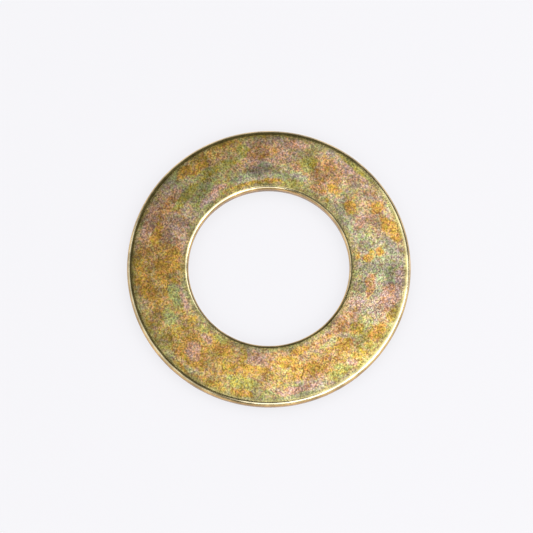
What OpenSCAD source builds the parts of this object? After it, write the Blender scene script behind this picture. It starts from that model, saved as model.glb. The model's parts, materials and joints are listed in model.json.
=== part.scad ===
// Flat washer stamped from sheet steel for a 20 mm bolt.
// It is one piece. The top edges are rolled, as the press drew the metal in there.
// The bottom ones, on the burr side, are nearly sharp and only dulled by tumbling.
// Millimetres. Z is the bore axis and Z = 0 is the burr side, which the washer lies on.

/* [Ring] */
// Diameter over the outside wall
outer_d = 37; // [32:0.5:44]
// Diameter of the bore
bore_d = 21; // [17:0.5:25]
// Thickness of the sheet
thick = 2; // [1.6:0.1:3]

/* [Pressed edges] */
// Radius of the rolled edge on the top face, at the outside
outer_roll_r = 0.6; // [0.3:0.05:0.7]
// Radius of the rolled edge on the top face, at the bore
bore_roll_r = 0.45; // [0.3:0.05:0.7]
// Radius that tumbling leaves on the bottom edges
burr_r = 0.12; // [0.05:0.01:0.2]
// Height of each wall that broke away and did not shear cleanly
fracture_h = 0.8; // [0.4:0.05:0.9]
// How far the broken stretch draws back from the sheared wall, at its foot
fracture_back = 0.14; // [0.04:0.01:0.2]

/* [Hidden] */

outer_r = outer_d / 2;
bore_r = bore_d / 2;
bore_foot_r = bore_r + fracture_back;
outer_foot_r = outer_r - fracture_back;
overshoot = 1;
round_fn = 96;
ring_fn = 180;

// Removes the sharp corner at the origin of a body that fills +X and +Y, and leaves it round
module corner_cut(r) {
    difference() {
        translate([-overshoot, -overshoot])
            square(r + overshoot);
        translate([r, r])
            circle(r, $fn = round_fn);
    }
}

// Thins one wall from the top of its broken stretch down to its foot. dir is +1 where the metal is on +X
module fracture_cut(wall_r, foot_r, dir) {
    polygon([
        [wall_r, fracture_h],
        [foot_r, 0],
        [foot_r, -overshoot],
        [wall_r - dir * overshoot, -overshoot],
        [wall_r - dir * overshoot, fracture_h]
    ]);
}

// The cross-section of the ring, with X the distance from the bore axis
module ring_section() {
    difference() {
        translate([bore_r, 0])
            square([outer_r - bore_r, thick]);
        fracture_cut(bore_r, bore_foot_r, 1);
        fracture_cut(outer_r, outer_foot_r, -1);
        translate([bore_r, thick])
            mirror([0, 1])
                corner_cut(bore_roll_r);
        translate([outer_r, thick])
            mirror([1, 0])
                mirror([0, 1])
                    corner_cut(outer_roll_r);
        translate([bore_foot_r, 0])
            corner_cut(burr_r);
        translate([outer_foot_r, 0])
            mirror([1, 0])
                corner_cut(burr_r);
    }
}

// The whole washer
module washer() {
    color("goldenrod")
        rotate_extrude($fn = ring_fn)
            ring_section();
}

washer();
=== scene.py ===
"""Flat washer in zinc plate with a yellow chromate film, lying on a plain pale table.

The ring is one fine mesh swept round from a cross-section that has the rolled edges, sheared bands and
torn bands of a pressed blank. Its colours come from three fields stored on the mesh, which say how warm,
how pink and how bright the film is; the brightness also holds painted light and shade over broad areas.
Noise in the material breaks them up into grain.
Metres. X points right, Y away from the camera and Z up along the bore axis. Z = 0 is the table.
"""

import json
import math

import bpy
import numpy as np
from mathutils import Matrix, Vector, noise


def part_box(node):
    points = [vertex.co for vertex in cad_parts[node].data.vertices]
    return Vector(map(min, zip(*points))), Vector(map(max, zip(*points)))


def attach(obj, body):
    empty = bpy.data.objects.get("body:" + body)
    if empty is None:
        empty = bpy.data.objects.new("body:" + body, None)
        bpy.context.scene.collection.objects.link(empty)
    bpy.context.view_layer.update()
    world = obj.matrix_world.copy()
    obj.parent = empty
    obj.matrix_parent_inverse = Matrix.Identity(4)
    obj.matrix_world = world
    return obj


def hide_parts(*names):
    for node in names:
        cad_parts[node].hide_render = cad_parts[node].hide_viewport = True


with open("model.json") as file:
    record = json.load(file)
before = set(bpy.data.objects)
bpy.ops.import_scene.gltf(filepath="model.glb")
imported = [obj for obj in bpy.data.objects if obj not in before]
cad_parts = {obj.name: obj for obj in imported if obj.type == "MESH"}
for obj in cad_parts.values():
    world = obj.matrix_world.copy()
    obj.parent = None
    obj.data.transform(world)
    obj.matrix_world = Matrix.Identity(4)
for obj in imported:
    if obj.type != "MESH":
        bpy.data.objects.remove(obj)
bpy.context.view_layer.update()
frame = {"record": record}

MM = 0.001

# ---- Sizes, from the frame where it holds them ----
LOW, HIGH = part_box("washer")
OUTER_R = min(HIGH.x, HIGH.y, -LOW.x, -LOW.y)
THICK = HIGH.z
BORE_R = next(m for m in frame["record"]["mounts"] if m["name"] == "bore")["dims"]["r_mm"] * MM
OUTER_ROLL = 0.6 * MM
BORE_ROLL = 0.45 * MM
BURR_R = 0.12 * MM
TORN_H = 0.8 * MM
TORN_BACK = 0.14 * MM
FLAT_IN = BORE_R + BORE_ROLL
FLAT_OUT = OUTER_R - OUTER_ROLL
MIDDLE_R = (FLAT_OUT + FLAT_IN) / 2
HALF_FLAT = (FLAT_OUT - FLAT_IN) / 2

# ---- Mesh density, in points ----
AROUND = 720
ACROSS_TOP = 40
ACROSS_BOTTOM = 14
ROUND_ROLL = 14
ROUND_BURR = 5
UP_LAND = 5
UP_TORN = 9

# ---- How far the surfaces wander from true ----
# The top face falls a little all the way to its rims, and more sharply close to them.
CROWN, CROWN_POWER = 0.02 * MM, 3
SHOULDER, SHOULDER_POWER = 0.006 * MM, 14
# The upper edge of the torn bands wanders in slow bends and quick nicks.
TORN_H_WANDER = 0.16 * MM
TORN_BENDS = 3.0
TORN_NICKS = 14.0
OUTER_SEED, BORE_SEED, NICK_SEED = 1.5, 4.5, 7
# The depth of the relief on each kind of surface.
TORN_DEPTH = 0.035 * MM
LAND_DEPTH = 0.004 * MM
FACE_DEPTH = 0.006 * MM
# How closely the relief is packed, per mm, and the fractal's roughness, step and count of layers.
TORN_PITCH, TORN_PITCH_UP = 2.2, 0.9
TORN_FRACTAL = (0.6, 2.0, 4)
LAND_PITCH, LAND_SEED = 5.0, 0.3
FACE_PITCH = 0.35

# ---- Stage, lights and camera ----
TABLE_SIZE = 3.0
WALL_HEIGHT = 1.5
BOARD_GREY = (0.05, 0.05, 0.052)
BOARD_WHITE = (0.973, 0.967, 1.0)
BOARD_GLOW = 0.91
# The board is a little darker within this reach of what lies on it, as a painted contact shadow.
CONTACT_REACH = 5 * MM
PAINTED_CONTACT_SHADE = 0.08
CONTACT_OPENNESS = 0.4
CONTACT_SAMPLES = 8
WINDOW_RADIANCE = 2.3
# Lights that face the washer: name, azimuth, elevation, distance, width, height and radiance.
SOFTBOXES = [
    ("window", -82, 40, 0.35, 0.22, 0.17, WINDOW_RADIANCE),
    ("window", -48, 38, 0.35, 0.22, 0.15, WINDOW_RADIANCE),
    ("window", -14, 34, 0.35, 0.22, 0.12, WINDOW_RADIANCE),
    ("apron", -40, 12, 0.4, 1.20, 0.16, 0.8),
    ("glow", 195, 22, 0.4, 0.80, 0.28, 0.8),
]
# A panel above that faces straight down.
PANEL_PLACE = (0.157, -0.02, 0.2)
PANEL_TURN = 38
PANEL_WIDTH, PANEL_HEIGHT = 0.30, 0.25
PANEL_RADIANCE = 1.85
STRAIGHT_DOWN = 90
ROOM_COLOUR = (0.12, 0.105, 0.056)
# The camera's tilt is off straight down.
CAMERA_TILT = 13.8
CAMERA_DISTANCE = 0.42
CAMERA_TARGET = (-0.31 * MM, -0.01 * MM, THICK)
CAMERA_SENSOR = 36.0
CAMERA_CLIP_START = 0.01
VIEW_HALF_WIDTH = 34.7 * MM

# ---- Colours of the film: (warmth, blush), each from 0 to 1 ----
# Warmth runs from pale grey-green to amber, and blush tints that from green to pink.
STRAW = (0.35, 0.40)
GOLD = (0.85, 0.35)
ORANGE = (1.00, 0.55)
SALMON = (0.70, 0.80)
ROSE = (0.45, 1.00)
MAUVE = (0.20, 0.90)
TEAL = (0.00, 0.45)
OLIVE = (0.35, 0.05)
LIME = (0.60, 0.00)
PALE_FILM = (0.61, 0.60, 0.42, 1.0)
AMBER_FILM = (0.79, 0.475, 0.10, 1.0)
GREEN_TINT = (0.84, 1.06, 0.72, 1.0)
PINK_TINT = (1.14, 0.86, 1.28, 1.0)
MEAN_TINT = (0.36, 0.50)
WALL_TINT = (0.8, 0.6)
RIM_COLOUR = (0.40, 0.36, 0.12, 1.0)
# Colours down a rolled edge, from the flat at 0 to the wall at 1.
ROLL_COLOURS = [
    (0.0, (0.40, 0.35, 0.13)),
    (0.2, (0.50, 0.44, 0.20)),
    (0.38, (0.88, 0.79, 0.56)),
    (0.7, (0.70, 0.46, 0.17)),
    (1.0, (0.52, 0.26, 0.07)),
]
LAND_COLOUR = (0.50, 0.23, 0.06, 1.0)
TORN_COLOUR = (0.34, 0.14, 0.04, 1.0)
RIM_COVER, LAND_COVER, TORN_COVER = 0.8, 0.75, 0.75

# Broad washes of film over the top face, laid before the stains: colour, degrees clockwise from +X, radius
# from the axis, half length along the ring and half width across it, in mm.
WASHES = [
    (TEAL, 0, 15.0, 4.5, 3.2), (ROSE, 33, 12.2, 3.0, 1.4), (GOLD, 40, 16.8, 4.0, 1.5),
    (ORANGE, 62, 14.6, 4.5, 1.6), (SALMON, 84, 12.4, 4.0, 1.2), (ORANGE, 92, 15.0, 5.0, 1.5),
    (OLIVE, 96, 17.0, 4.5, 0.8), (ORANGE, 122, 14.5, 5.5, 3.4), (GOLD, 150, 15.0, 3.5, 3.4),
    (ORANGE, 178, 14.5, 5.0, 3.4), (ROSE, 208, 14.8, 4.0, 3.2), (OLIVE, 238, 13.0, 4.0, 1.3),
    (GOLD, 243, 17.0, 4.5, 0.9), (TEAL, 268, 12.2, 3.5, 1.0), (ROSE, 270, 15.6, 4.0, 1.8),
    (SALMON, 300, 14.6, 3.5, 2.0), (TEAL, 332, 12.6, 3.5, 1.3), (ROSE, 333, 15.8, 3.5, 1.8),
]
WASH_STRENGTH = 0.6

# Darker and brighter areas of the top face: the tone, then the numbers as for WASHES. The broad ones are
# painted light and shade, brighter towards the bottom and right and darker towards the upper left and top;
# the small dark ones are darker film.
TONES_AND_PAINTED_LIGHT = [
    (1.18, 90, 14.5, 5.0, 3.0), (1.12, 332, 15.0, 3.5, 3.0), (1.06, 60, 15.0, 3.0, 3.0),
    (0.86, 240, 15.0, 4.0, 2.4), (0.92, 270, 15.5, 4.0, 1.8), (0.68, 5, 16.6, 2.4, 1.3),
    (0.78, 18, 17.2, 1.5, 0.6), (0.92, 204, 15.2, 2.6, 1.8), (0.82, 226, 14.0, 1.8, 1.2),
    (0.68, 267, 13.1, 2.2, 0.8), (0.80, 128, 17.6, 1.5, 0.4), (0.80, 176, 15.2, 1.2, 0.8),
]

# Fine scratches on the top face: both ends in mm, then the width in mm.
SCRATCHES = [
    ((4.46, -13.0), (4.30, -15.2), 0.16),
    ((4.28, -15.9), (4.14, -17.7), 0.12),
    ((-13.6, 5.2), (-12.1, 6.9), 0.06),
]
SCRATCH_SHADE = 0.3
SCRATCH_FADE = 0.4

# Smaller patches of even film on the top face: the numbers are as for WASHES.
STAINS = [
    (MAUVE, 8, 17.2, 2.5, 0.8), (ROSE, 15, 15.9, 2.0, 1.0), (SALMON, 11, 13.4, 1.6, 0.6),
    (GOLD, 22, 17.4, 1.0, 0.7), (ORANGE, 32, 16.6, 1.4, 0.8), (GOLD, 36, 14.2, 1.0, 0.9),
    (SALMON, 38, 12.4, 2.3, 0.7), (GOLD, 45, 16.5, 1.4, 0.6), (ORANGE, 47, 14.2, 1.3, 0.8),
    (ROSE, 50.5, 16.7, 0.5, 0.5), (SALMON, 55, 12.1, 2.0, 0.5), (LIME, 57, 16.7, 1.6, 0.9),
    (ORANGE, 66, 14.8, 1.6, 0.8), (ORANGE, 70, 11.9, 1.5, 0.5), (TEAL, 76, 17.6, 3.0, 0.3),
    (ROSE, 78, 16.8, 3.0, 0.5), (ORANGE, 80, 12.9, 1.8, 0.8), (ORANGE, 76, 14.1, 0.9, 0.5),
    (SALMON, 82, 11.6, 0.8, 0.3), (ROSE, 97, 12.5, 1.3, 0.6), (ORANGE, 98, 13.9, 2.0, 0.6),
    (ORANGE, 102, 17.2, 1.4, 0.6), (LIME, 103, 15.8, 2.2, 0.9), (GOLD, 106, 12.3, 0.5, 1.2),
    (GOLD, 113, 14.3, 1.0, 0.7), (GOLD, 115, 17.4, 1.8, 0.5), (ORANGE, 118, 12.6, 1.6, 0.7),
    (LIME, 123, 11.6, 1.2, 0.5), (STRAW, 126, 16.9, 1.5, 0.4), (ORANGE, 130, 17.6, 1.6, 0.3),
    (ROSE, 130, 12.5, 0.9, 0.4), (ORANGE, 131, 14.9, 2.0, 1.8), (ROSE, 131, 14.9, 1.1, 1.0),
    (LIME, 135, 11.9, 0.8, 0.5), (GOLD, 143, 12.2, 0.6, 1.0), (GOLD, 145, 14.5, 0.6, 1.0),
    (OLIVE, 153, 14.5, 1.2, 0.8), (ROSE, 160, 12.0, 2.0, 0.4), (OLIVE, 163, 12.8, 1.5, 0.8),
    (ORANGE, 168, 16.0, 1.5, 1.0), (ORANGE, 175, 16.6, 1.2, 0.7), (ORANGE, 178, 14.0, 1.6, 1.0),
    (GOLD, 182, 16.9, 1.0, 0.9), (ORANGE, 184, 12.7, 1.7, 0.9), (ORANGE, 196, 15.3, 1.6, 0.7),
    (ROSE, 200, 16.7, 2.5, 0.7), (SALMON, 210, 15.5, 2.0, 0.8), (LIME, 221, 14.4, 2.5, 0.6),
    (MAUVE, 229, 12.0, 1.5, 0.5), (ORANGE, 229, 17.0, 1.2, 0.7), (ORANGE, 235, 16.0, 1.4, 0.5),
    (ROSE, 238, 12.5, 1.2, 0.5), (LIME, 243, 14.9, 3.0, 0.6), (ORANGE, 250, 17.5, 2.0, 0.4),
    (GOLD, 254, 11.5, 4.0, 0.3), (TEAL, 255, 12.4, 1.8, 0.5), (LIME, 257, 16.0, 0.9, 0.9),
    (SALMON, 267, 15.5, 2.2, 0.9), (TEAL, 268, 13.8, 0.9, 0.5), (GOLD, 268, 17.9, 3.5, 0.3),
    (ORANGE, 273, 11.6, 1.2, 0.3), (ROSE, 282, 16.8, 1.6, 0.7), (LIME, 285, 11.7, 1.8, 0.3),
    (SALMON, 286, 13.9, 0.9, 0.6), (TEAL, 287, 12.7, 1.4, 0.6), (LIME, 291, 14.8, 1.2, 1.0),
    (SALMON, 299, 15.3, 1.3, 1.3), (SALMON, 303, 12.4, 1.0, 0.5), (ORANGE, 309, 13.4, 1.0, 0.6),
    (GOLD, 309.5, 11.7, 0.5, 0.35), (LIME, 311, 17.7, 3.0, 0.4), (ORANGE, 323.5, 13.3, 1.0, 0.8),
    (TEAL, 328, 11.8, 1.7, 0.4), (ORANGE, 331, 16.2, 0.8, 0.9), (ROSE, 333, 13.4, 1.0, 0.6),
    (ORANGE, 340, 16.3, 1.3, 0.6), (ORANGE, 344, 17.2, 1.5, 0.8), (TEAL, 350, 16.1, 1.2, 0.5),
    (ORANGE, 352.5, 14.7, 0.6, 0.5), (GOLD, 353, 13.6, 0.6, 0.5), (ORANGE, 356, 12.9, 0.6, 0.5),
    (GOLD, 352, 11.6, 0.7, 0.3),
]
STAIN_STRENGTH = 1.0

# A patch is full out to 0.76 of its half size, and gone by 1.24 of it.
PATCH_REACH, PATCH_FALL = 2.6, 2.1

# Stains of the underside, which no view shows, are random within these limits, in mm.
UNSEEN_STAINS = 60
UNSEEN_SEED = 20
UNSEEN_COLOURS = [STRAW, GOLD, ORANGE, SALMON, ROSE, MAUVE, TEAL, LIME]
UNSEEN_RADII = (11.2, 17.8)
UNSEEN_HALF_LENGTHS = (0.7, 2.6)
UNSEEN_HALF_WIDTHS = (0.4, 1.0)

# Slow changes of the film that no patch makes, and how far noise bends the outlines of the patches.
WIDE_DRIFT = 5.5 * MM
NARROW_DRIFT, NARROW_SHARE = 1.9 * MM, 0.6
WARMTH_DRIFT, WARMTH_SEED = 0.22, 0.1
BLUSH_DRIFT, BLUSH_SEED = 0.55, 0.3
WARP_SIZE = 1.3 * MM
WARP_ALONG = 0.5 * MM
WARP_ACROSS = 0.35 * MM
# The warp across is the warp along, taken from this many vertices away.
WARP_SHIFT = 977

# The greener film round the rims of the flat face.
RIM_WIDTH = 0.8 * MM
RIM_SHIFT = 0.8
RIM_UNEVEN, RIM_BENDS, RIM_SEED = 0.5, 9.0, 9.0

# ---- Grain of the plating ----
# Noises: size in mm, detail and distortion.
GRAIN = (0.22, 3.0, 0.6)
FINE_GRAIN = (0.12, 1.0)
TINT_GRAIN = (0.36, 3.0, 0.4)
BLOOM = (0.8, 2.0)
FLUSH = (0.5, 3.0)
CLOUD = (2.2, 3.0)
SCRATCH_BEND = (0.9, 2.0)
SPECK_SIZE = 0.17
TINT_OFFSET = (9.0, 4.0, 2.0)
# The stretch of each noise that counts. Below and above it the effect stays level.
USUAL = (0.3, 0.7)
TIGHT = (0.34, 0.66)
ALL = (0.0, 1.0)
MOST = (0.0, 0.8)
# The stretch of a rolled edge over which its colour, its roughness and its calm come in.
ROLL_COLOUR_IN = (0.05, 0.25)
ROLL_ROUGH_IN = (0.0, 0.25)
ROLL_CALM_IN = (0.0, 0.3)
# How far each noise moves the warmth and the blush.
WARMTH_BY_GRAIN, WARMTH_BY_BLOOM, WARMTH_BY_SPECK = 0.16, 0.18, 0.15
BLUSH_BY_FLUSH, BLUSH_BY_SPECK = 0.38, -0.14
# How dark and how bright each noise makes the colour.
GRAIN_SHADES = (0.62, 1.18)
SPECK_SHADES = (0.56, 1.2)
CLOUD_SHADES = (0.66, 1.23)
ROLL_CALM = 0.8
FACE_ROUGH = (0.32, 0.46)
RIM_ROUGH, ROLL_ROUGH, LAND_ROUGH, TORN_ROUGH = 0.28, 0.2, 0.24, 0.5
BUMP_HEIGHT = 0.03 * MM
FINE_BUMP = 0.25
ROLL_BUMP = 0.12


# ---- The mesh ----
def arc(centre_r, centre_z, radius, start, end, count):
    """Points on an arc of the cross-section. Degrees, with 0 outwards and 90 up."""
    angles = np.radians(np.linspace(start, end, count))
    return centre_r + radius * np.cos(angles), centre_z + radius * np.sin(angles)


def wander(turn, seed, size):
    """A smooth value about 0 that changes slowly round the ring and meets itself."""
    return noise.noise(Vector((math.cos(turn) * size, math.sin(turn) * size, seed)))


def torn_height(turn, seed):
    """Where the sheared band ends and the torn band starts."""
    bends = wander(turn, seed, TORN_BENDS)
    nicks = wander(turn, seed + NICK_SEED, TORN_NICKS)
    return TORN_H + TORN_H_WANDER * (bends + 0.5 * nicks)


def straight(r0, z0, r1, z1, count):
    """Points on a straight stretch of the cross-section."""
    return np.linspace(r0, r1, count), np.linspace(z0, z1, count)


def section(turn):
    """The stretches of the cross-section at that turn, each as its kind and its (radii, heights)."""
    outer_h, bore_h = torn_height(turn, OUTER_SEED), torn_height(turn, BORE_SEED)
    outer_foot, bore_foot = OUTER_R - TORN_BACK, BORE_R + TORN_BACK
    outer_brow, bore_brow = THICK - OUTER_ROLL, THICK - BORE_ROLL
    return [
        ("roll", arc(FLAT_IN, bore_brow, BORE_ROLL, 180, 90, ROUND_ROLL)),
        ("face", straight(FLAT_IN, THICK, FLAT_OUT, THICK, ACROSS_TOP)),
        ("roll", arc(FLAT_OUT, outer_brow, OUTER_ROLL, 90, 0, ROUND_ROLL)),
        ("land", straight(OUTER_R, outer_brow, OUTER_R, outer_h, UP_LAND)),
        ("torn", straight(OUTER_R, outer_h, outer_foot, BURR_R, UP_TORN)),
        ("burr", arc(outer_foot - BURR_R, BURR_R, BURR_R, 0, -90, ROUND_BURR)),
        ("base", straight(outer_foot - BURR_R, 0, bore_foot + BURR_R, 0, ACROSS_BOTTOM)),
        ("burr", arc(bore_foot + BURR_R, BURR_R, BURR_R, 270, 180, ROUND_BURR)),
        ("torn", straight(bore_foot, BURR_R, BORE_R, bore_h, UP_TORN)),
        ("land", straight(BORE_R, bore_h, BORE_R, bore_brow, UP_LAND)),
    ]


def section_points(turn):
    """(radii, heights, kinds) of the cross-section as one closed loop, with each shared end kept once."""
    radii, heights, kinds = [], [], []
    for kind, (r, z) in section(turn):
        radii.extend(r[:-1])
        heights.extend(z[:-1])
        kinds.extend([kind] * (len(r) - 1))
    return np.array(radii), np.array(heights), kinds


def relief(kind, place):
    """Noise about 0 for that kind of surface, at a place in mm."""
    x, y, z = place
    if kind == "torn":
        return noise.fractal(Vector((x * TORN_PITCH, y * TORN_PITCH, z * TORN_PITCH_UP)), *TORN_FRACTAL)
    if kind == "land":
        return noise.noise(Vector((x * LAND_PITCH, y * LAND_PITCH, LAND_SEED)))
    return noise.noise(Vector((x * FACE_PITCH, y * FACE_PITCH, z)))


def roughen(kind, radius, height, turn):
    """How far a point sinks below the true surface."""
    depth = {"torn": TORN_DEPTH, "land": LAND_DEPTH}.get(kind, FACE_DEPTH)
    place = (radius * math.cos(turn) / MM, radius * math.sin(turn) / MM, height / MM)
    return depth * (0.5 + 0.5 * relief(kind, place))


def ring_points():
    """Every vertex of the ring, with the kinds of the points of one cross-section."""
    vertices = []
    for step in range(AROUND):
        turn = 2 * math.pi * step / AROUND
        radii, heights, kinds = section_points(turn)
        for r, z, kind in zip(radii, heights, kinds):
            r, z = sunk(r, z, kind, roughen(kind, r, z, turn))
            vertices.append((r * math.cos(turn), r * math.sin(turn), z))
    return vertices, kinds


def roll_rise(r, z):
    """How far up its roll each point stands, from 0 at the wall to 1 at the flat. Arrays or numbers."""
    roll = np.where(r < MIDDLE_R, BORE_ROLL, OUTER_ROLL)
    return np.clip((z - THICK + roll) / roll, 0, 1)


def crown(r, z):
    """How far the top falls away from flat towards its two edges, which fades out down the rolls."""
    away = min(abs(r - MIDDLE_R) / HALF_FLAT, 1.0)
    fall = CROWN * away ** CROWN_POWER + SHOULDER * away ** SHOULDER_POWER
    return fall * roll_rise(r, z)


def sunk(r, z, kind, sink):
    """The point moved into the metal by sink."""
    if kind in ("face", "roll"):
        return r, z - sink - crown(r, z)
    if kind in ("land", "torn"):
        return r + math.copysign(sink, MIDDLE_R - r), z
    return r, z


def tinted(field, azimuth, radius, patch, strength):
    """field with one patch laid over it. Azimuths are in radians and radii in metres."""
    wanted, clockwise, centre, half_length, half_width = patch
    away = np.angle(np.exp(1j * (azimuth + math.radians(clockwise)))) * centre / half_length
    across = (radius / MM - centre) / half_width
    share = np.clip(PATCH_REACH - PATCH_FALL * np.hypot(away, across), 0, 1)
    share = strength * share * share * (3 - 2 * share)
    return field + (np.array(wanted) - field) * share[:, None]


def laid(field, place, patches, strength):
    """field with the patches laid over it in turn, where place is (azimuths, radii)."""
    for patch in patches:
        field = tinted(field, *place, patch, strength)
    return field


def random_stain(rng):
    """One stain for the underside, with its numbers as for WASHES."""
    return (
        UNSEEN_COLOURS[rng.integers(len(UNSEEN_COLOURS))],
        rng.uniform(0, 360),
        rng.uniform(*UNSEEN_RADII),
        rng.uniform(*UNSEEN_HALF_LENGTHS),
        rng.uniform(*UNSEEN_HALF_WIDTHS),
    )


def drift(vertices, seed):
    """A slow value about 0 at each vertex."""
    return np.array([
        noise.noise(Vector((x, y, z + seed)) / WIDE_DRIFT)
        + NARROW_SHARE * noise.noise(Vector((x, y, z - seed)) / NARROW_DRIFT)
        for x, y, z in vertices
    ])


def bent_place(vertices):
    """(azimuths, radii) of the vertices, bent by noise so that no patch has a smooth outline."""
    points = np.array(vertices)
    azimuth = np.arctan2(points[:, 1], points[:, 0])
    radius = np.hypot(points[:, 0], points[:, 1])
    warp = np.array([noise.noise(Vector((x, y, 1.0)) / WARP_SIZE) for x, y, _ in vertices])
    return azimuth + WARP_ALONG * warp / radius, radius + WARP_ACROSS * np.roll(warp, WARP_SHIFT)


def film_fields(vertices, on_wall):
    """(warmth, blush, tone) of the film at each vertex: slow drifts, then the patches of its side. The
    tone holds painted light and shade as well as darker film.
    """
    place = bent_place(vertices)
    warmth_drift = WARMTH_DRIFT * drift(vertices, WARMTH_SEED)
    blush_drift = BLUSH_DRIFT * drift(vertices, BLUSH_SEED)
    drifts = np.column_stack([warmth_drift, blush_drift])
    plain = np.array(MEAN_TINT) + drifts
    rng = np.random.default_rng(UNSEEN_SEED)
    unseen = [random_stain(rng) for _ in range(UNSEEN_STAINS)]
    top = laid(laid(plain, place, WASHES, WASH_STRENGTH), place, STAINS, STAIN_STRENGTH)
    bottom = laid(plain, place, unseen, STAIN_STRENGTH)
    # The tone: darker film in small patches, and painted light and shade in broad ones.
    tone_and_painted_light = laid(np.ones((len(vertices), 1)), place, TONES_AND_PAINTED_LIGHT, 1.0)
    on_top = np.array(vertices)[:, 2:] > THICK / 2
    tint = np.where(on_top, top, bottom)
    tint = np.where(on_wall[:, None], np.array(WALL_TINT) + drifts, tint)
    return np.column_stack([tint, np.where(on_top, tone_and_painted_light, 1.0)])


def rim_share(vertices):
    """How near each vertex is to the rims of the flat face, from 0 to 1, with an uneven border."""
    shares = []
    for x, y, _ in vertices:
        past_flat = (abs(math.hypot(x, y) - MIDDLE_R) - HALF_FLAT) / RIM_WIDTH
        uneven = RIM_UNEVEN * wander(math.atan2(y, x), RIM_SEED, RIM_BENDS)
        shares.append(min(max(past_flat + RIM_SHIFT + uneven, 0), 1))
    return shares


def edge_share(vertices, kinds):
    """How far round a roll each point is, from 0 at the flat to 1 at the wall. Burrs are 1."""
    points = np.array(vertices)
    rise = roll_rise(np.hypot(points[:, 0], points[:, 1]), points[:, 2])
    on_roll = np.tile([k == "roll" for k in kinds], AROUND)
    on_burr = np.tile([k == "burr" for k in kinds], AROUND)
    return np.where(on_roll, np.arccos(rise) / (math.pi / 2), on_burr)


def set_attribute(mesh, name, values):
    """Stores one number for each vertex, for the material to read."""
    numbers = np.asarray(values, dtype=np.float32)
    mesh.attributes.new(name, "FLOAT", "POINT").data.foreach_set("value", numbers)


def ring_faces(count):
    """The faces between neighbouring cross-sections of count points, right round."""
    faces = []
    for step in range(AROUND):
        here, there = step * count, (step + 1) % AROUND * count
        for k in range(count):
            after = (k + 1) % count
            faces.append((here + k, here + after, there + after, there + k))
    return faces


def make_ring(material):
    """The washer, as a closed mesh with the fields that its material reads."""
    vertices, kinds = ring_points()
    faces = ring_faces(len(kinds))
    mesh = bpy.data.meshes.new("washer_ring")
    mesh.from_pydata(vertices, [], faces)
    mesh.polygons.foreach_set("use_smooth", [True] * len(faces))
    on_wall = np.tile([k in ("land", "torn") for k in kinds], AROUND)
    for name, values in zip(("warmth", "blush", "tone_and_painted_light"), film_fields(vertices, on_wall).T):
        set_attribute(mesh, name, values)
    for kind in ("land", "torn"):
        set_attribute(mesh, kind, [float(k == kind) for k in kinds] * AROUND)
    set_attribute(mesh, "edge", edge_share(vertices, kinds))
    set_attribute(mesh, "rim", rim_share(vertices))
    mesh.materials.append(material)
    mesh.validate()
    ring = bpy.data.objects.new("washer_ring", mesh)
    bpy.context.scene.collection.objects.link(ring)
    return ring


# ---- Materials ----
def add(tree, kind, inputs, **settings):
    """A new shader node. Each input is a value or the output that feeds it."""
    node = tree.nodes.new("ShaderNode" + kind)
    for name, value in settings.items():
        setattr(node, name, value)
    for socket, value in inputs.items():
        if isinstance(value, bpy.types.NodeSocket):
            tree.links.new(value, node.inputs[socket])
        else:
            node.inputs[socket].default_value = value
    return node


def calc(tree, operation, a, b=0.0):
    """The result of a sum on two numbers."""
    return add(tree, "Math", {0: a, 1: b}, operation=operation).outputs[0]


def mottle(tree, place, size, detail, distortion=0.0):
    """Noise whose blobs are about size mm across."""
    wanted = {"Vector": place, "Scale": 1 / size, "Detail": detail, "Distortion": distortion}
    return add(tree, "TexNoise", wanted).outputs["Fac"]


def specks(tree, place, size):
    """Two random numbers for each crystal of the plating, which are about size mm across."""
    cells = add(tree, "TexVoronoi", {"Vector": place, "Scale": 1 / size})
    channels = add(tree, "SeparateColor", {0: cells.outputs["Color"]})
    return channels.outputs[0], channels.outputs[1]


def spread(tree, value, low, high, to_low=0.0, to_high=1.0):
    """value, eased from one range into another."""
    wanted = {"Value": value, "From Min": low, "From Max": high, "To Min": to_low, "To Max": to_high}
    return add(tree, "MapRange", wanted, interpolation_type="SMOOTHSTEP").outputs["Result"]


def jittered(tree, value, by, span, reach):
    """value moved by -reach to +reach, as the noise runs over its span."""
    return calc(tree, "ADD", value, spread(tree, by, *span, -reach, reach))


def mix_colour(tree, share, a, b, mode="MIX"):
    """Colours a and b mixed, with b's share given."""
    node = add(tree, "Mix", {0: share, 6: a, 7: b}, data_type="RGBA", blend_type=mode)
    return node.outputs[2]


def mix_value(tree, share, a, b):
    """Numbers a and b mixed, with b's share given."""
    return add(tree, "Mix", {0: share, 2: a, 3: b}).outputs[0]


def read(tree, name):
    """A number stored on the mesh."""
    return add(tree, "Attribute", {}, attribute_name=name).outputs["Fac"]


def colour_scale(tree, place, colours):
    """The colour at a place on a scale of (place, colour) stops."""
    node = add(tree, "ValToRGB", {"Fac": place})
    stops = node.color_ramp.elements
    while len(stops) < len(colours):
        stops.new(0.5)
    for stop, (position, colour) in zip(stops, colours):
        stop.position = position
        stop.color = (*colour, 1)
    return node.outputs["Color"]


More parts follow.
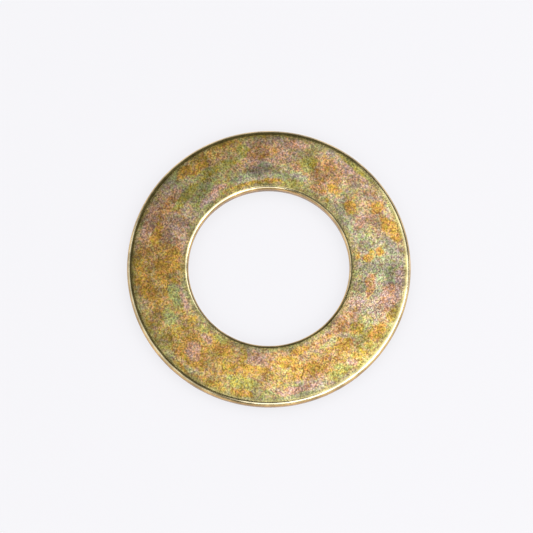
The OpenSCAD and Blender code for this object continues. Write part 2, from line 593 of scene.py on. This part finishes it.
def scratched(tree, place, start, end, width):
    """1 along a fine scratch on the top face and 0 away from it."""
    start, end = Vector((*start, 0)), Vector((*end, 0))
    along = (end - start).normalized()
    across = along.cross(Vector((0, 0, 1)))
    reach = (end - start).length
    from_start = add(tree, "VectorMath", {0: place, 1: start}, operation="SUBTRACT").outputs[0]
    far = add(tree, "VectorMath", {0: from_start, 1: along}, operation="DOT_PRODUCT").outputs["Value"]
    off = add(tree, "VectorMath", {0: from_start, 1: across}, operation="DOT_PRODUCT").outputs["Value"]
    off = jittered(tree, off, mottle(tree, place, *SCRATCH_BEND), USUAL, width)
    line = spread(tree, calc(tree, "ABSOLUTE", off), 0.0, width, 1.0, 0.0)
    line = calc(tree, "MULTIPLY", line, spread(tree, far, 0.0, SCRATCH_FADE))
    line = calc(tree, "MULTIPLY", line, spread(tree, far, reach - SCRATCH_FADE, reach, 1.0, 0.0))
    height = add(tree, "SeparateXYZ", {0: place}).outputs["Z"]
    return calc(tree, "MULTIPLY", line, calc(tree, "GREATER_THAN", height, THICK / MM / 2))


def film_colour(tree, place, tint_place, tint_grain, crystals):
    """Colour of the film, from its stored warmth and blush, broken up by noise."""
    speck_tint, speck_shade = crystals
    warmth = jittered(tree, read(tree, "warmth"), tint_grain, USUAL, WARMTH_BY_GRAIN)
    warmth = jittered(tree, warmth, mottle(tree, tint_place, *BLOOM), USUAL, WARMTH_BY_BLOOM)
    warmth = jittered(tree, warmth, speck_tint, ALL, WARMTH_BY_SPECK)
    blush = jittered(tree, read(tree, "blush"), mottle(tree, place, *FLUSH), USUAL, BLUSH_BY_FLUSH)
    blush = jittered(tree, blush, speck_shade, ALL, BLUSH_BY_SPECK)
    film = mix_colour(tree, warmth, PALE_FILM, AMBER_FILM)
    return mix_colour(tree, 1.0, film, mix_colour(tree, blush, GREEN_TINT, PINK_TINT), "MULTIPLY")


def edged(tree, colour, edge):
    """colour, with the greener rims, the rolled edges and the two bands of the walls laid over it."""
    rim = calc(tree, "MULTIPLY", read(tree, "rim"), RIM_COVER)
    colour = mix_colour(tree, rim, colour, RIM_COLOUR)
    rolled = colour_scale(tree, edge, ROLL_COLOURS)
    colour = mix_colour(tree, spread(tree, edge, *ROLL_COLOUR_IN), colour, rolled)
    land = calc(tree, "MULTIPLY", read(tree, "land"), LAND_COVER)
    colour = mix_colour(tree, land, colour, LAND_COLOUR)
    torn = calc(tree, "MULTIPLY", read(tree, "torn"), TORN_COVER)
    return mix_colour(tree, torn, colour, TORN_COLOUR)


def shading(tree, place, tint_place, grain, speck_shade, on_roll):
    """What the colour is multiplied by: grain that fades on the rolls, clouds, the tone with its painted
    light and shade, and scratches.
    """
    grain = spread(tree, grain, *TIGHT, *GRAIN_SHADES)
    dark = calc(tree, "MULTIPLY", grain, spread(tree, speck_shade, *MOST, *SPECK_SHADES))
    dark = mix_value(tree, calc(tree, "MULTIPLY", on_roll, ROLL_CALM), dark, 1.0)
    cloud = mottle(tree, tint_place, *CLOUD)
    dark = calc(tree, "MULTIPLY", dark, spread(tree, cloud, *USUAL, *CLOUD_SHADES))
    # The stored tone paints broad light and shade onto the top face, as well as darker film.
    dark = calc(tree, "MULTIPLY", dark, read(tree, "tone_and_painted_light"))
    for scratch in SCRATCHES:
        dark = mix_value(tree, scratched(tree, place, *scratch), dark, SCRATCH_SHADE)
    return add(tree, "CombineColor", {0: dark, 1: dark, 2: dark}).outputs[0]


def roughness(tree, tint_grain, edge):
    """Roughness of the flats, which noise varies, then of the rims, rolls and walls."""
    rough = spread(tree, tint_grain, *USUAL, *FACE_ROUGH)
    rough = mix_value(tree, read(tree, "rim"), rough, RIM_ROUGH)
    rough = mix_value(tree, spread(tree, edge, *ROLL_ROUGH_IN), rough, ROLL_ROUGH)
    rough = mix_value(tree, read(tree, "land"), rough, LAND_ROUGH)
    return mix_value(tree, read(tree, "torn"), rough, TORN_ROUGH)


def bumped(tree, place, grain, on_roll):
    """The surface normal, tilted by the grain."""
    fine = mottle(tree, place, *FINE_GRAIN)
    height = calc(tree, "ADD", grain, calc(tree, "MULTIPLY", fine, FINE_BUMP))
    level = mix_value(tree, on_roll, 1.0, ROLL_BUMP)
    bump = add(tree, "Bump", {"Strength": level, "Distance": BUMP_HEIGHT, "Height": height})
    return bump.outputs["Normal"]


def chromate():
    """Zinc plate on cold-rolled sheet under a chromate film, with its grain."""
    material = bpy.data.materials.new("chromated_zinc")
    material.use_nodes = True
    tree = material.node_tree
    shader = tree.nodes["Principled BSDF"]
    where = add(tree, "TexCoord", {}).outputs["Object"]
    place = add(tree, "VectorMath", {0: where, "Scale": 1 / MM}, operation="SCALE").outputs[0]
    tint_place = add(tree, "VectorMath", {0: place, 1: TINT_OFFSET}).outputs[0]
    grain = mottle(tree, place, *GRAIN)
    tint_grain = mottle(tree, tint_place, *TINT_GRAIN)
    crystals = specks(tree, place, SPECK_SIZE)
    edge = read(tree, "edge")
    on_roll = spread(tree, edge, *ROLL_CALM_IN)

    colour = edged(tree, film_colour(tree, place, tint_place, tint_grain, crystals), edge)
    shade = shading(tree, place, tint_place, grain, crystals[1], on_roll)
    colour = mix_colour(tree, 1.0, colour, shade, "MULTIPLY")
    tree.links.new(colour, shader.inputs["Base Color"])
    tree.links.new(roughness(tree, tint_grain, edge), shader.inputs["Roughness"])
    tree.links.new(bumped(tree, place, grain, on_roll), shader.inputs["Normal"])
    shader.inputs["Metallic"].default_value = 1.0
    return material


def table_board():
    """Evenly lit white board, a little darker close to whatever lies on it, as a painted contact shadow.
    """
    material = bpy.data.materials.new("table_board")
    material.use_nodes = True
    tree = material.node_tree
    shader = tree.nodes["Principled BSDF"]
    shader.inputs["Base Color"].default_value = (*BOARD_GREY, 1)
    shader.inputs["Roughness"].default_value = 1.0
    shader.inputs["Specular IOR Level"].default_value = 0.0
    occlusion = add(tree, "AmbientOcclusion", {"Distance": CONTACT_REACH}, samples=CONTACT_SAMPLES)
    # Painted contact shadow: the glow dims where ambient occlusion finds something close by.
    painted_shadow_glow = BOARD_GLOW * (1 - PAINTED_CONTACT_SHADE)
    glow = spread(tree, occlusion.outputs["AO"], CONTACT_OPENNESS, 1.0, painted_shadow_glow, BOARD_GLOW)
    shader.inputs["Emission Color"].default_value = (*BOARD_WHITE, 1)
    tree.links.new(glow, shader.inputs["Emission Strength"])
    return material


# ---- Stage, lights and camera ----
def board(name, corners, faces, material):
    """A flat or folded board of the stage."""
    mesh = bpy.data.meshes.new(name)
    mesh.from_pydata(corners, [], faces)
    mesh.materials.append(material)
    made = bpy.data.objects.new(name, mesh)
    bpy.context.scene.collection.objects.link(made)
    return made


def make_table():
    """A wide pale floor level with the washer's underside, and pale walls that only the camera sees."""
    half = TABLE_SIZE / 2
    material = table_board()
    floor = [(-half, -half, 0), (half, -half, 0), (half, half, 0), (-half, half, 0)]
    board("table", floor, [(0, 1, 2, 3)], material)
    top = [(x, y, WALL_HEIGHT) for x, y, _ in floor]
    sides = [(k, (k + 1) % 4, (k + 1) % 4 + 4, k + 4) for k in range(4)]
    walls = board("walls", floor + top, sides, material)
    walls.visible_glossy = False
    walls.visible_diffuse = False


def direction(azimuth, elevation):
    """Unit vector. Degrees, with azimuth counter-clockwise from +X seen from above."""
    a, e = math.radians(azimuth), math.radians(elevation)
    return Vector((math.cos(a) * math.cos(e), math.sin(a) * math.cos(e), math.sin(e)))


def softbox(name, place, azimuth, elevation, width, height, radiance):
    """A rectangular light that faces back along an azimuth and elevation, unseen by the camera."""
    light = bpy.data.lights.new(name, "AREA")
    light.shape = "RECTANGLE"
    light.size, light.size_y = height, width
    light.energy = radiance * math.pi * width * height
    lamp = bpy.data.objects.new(name, light)
    lamp.location = place
    lamp.rotation_euler = (0, math.radians(90 - elevation), math.radians(azimuth))
    lamp.visible_camera = False
    bpy.context.scene.collection.objects.link(lamp)


def make_lights():
    """A window at the near right with an apron under it, a glow from the left, a panel and a dim room."""
    for name, azimuth, elevation, distance, width, height, radiance in SOFTBOXES:
        place = distance * direction(azimuth, elevation)
        softbox(name, place, azimuth, elevation, width, height, radiance)
    place = Vector(PANEL_PLACE)
    softbox("panel", place, PANEL_TURN, STRAIGHT_DOWN, PANEL_WIDTH, PANEL_HEIGHT, PANEL_RADIANCE)
    world = bpy.data.worlds.new("room")
    bpy.context.scene.world = world
    world.use_nodes = True
    backdrop = world.node_tree.nodes["Background"]
    backdrop.inputs["Color"].default_value = (*ROOM_COLOUR, 1)


def make_camera():
    """The camera looks down steeply from the near side, through a long lens."""
    data = bpy.data.cameras.new("camera")
    data.sensor_width = CAMERA_SENSOR
    data.lens = 0.5 * data.sensor_width * CAMERA_DISTANCE / VIEW_HALF_WIDTH
    data.clip_start = CAMERA_CLIP_START
    camera = bpy.data.objects.new("camera", data)
    camera.location = Vector(CAMERA_TARGET) + CAMERA_DISTANCE * direction(-90, 90 - CAMERA_TILT)
    camera.rotation_euler = (math.radians(CAMERA_TILT), 0, 0)
    bpy.context.scene.collection.objects.link(camera)
    bpy.context.scene.camera = camera


make_camera()
make_table()
make_lights()
bpy.context.scene.view_settings.view_transform = "Standard"

ring = make_ring(chromate())
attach(ring, "root")
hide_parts("washer")
